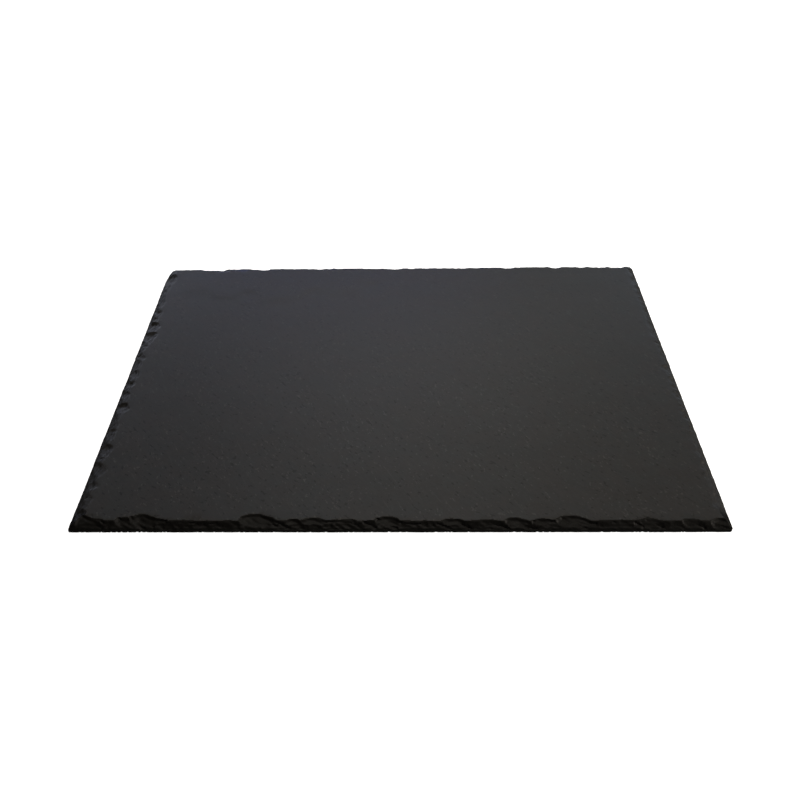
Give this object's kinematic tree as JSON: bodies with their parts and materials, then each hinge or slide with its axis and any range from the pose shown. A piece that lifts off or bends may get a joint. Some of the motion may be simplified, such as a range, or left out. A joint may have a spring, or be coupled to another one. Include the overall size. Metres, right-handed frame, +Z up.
{
  "type": "slate serving slab",
  "caption": "Thin rectangular slab of natural slate with chipped, hand-dressed edges, for serving or setting things down on.",
  "frame": {"origin": "on the underside, below the middle of the slab's bounding box", "axes": "+X along the long front edge, towards the right as seen from the front; the front is towards -Y; +Z up through the thickness"},
  "size_m": [0.4002, 0.3024, 0.006],
  "materials": {
    "slate": "dry matt slate, riven on the face and broken along the edges"
  },
  "bodies": {
    "root": {"slate_slab": "slate"}
  },
  "joints": []
}
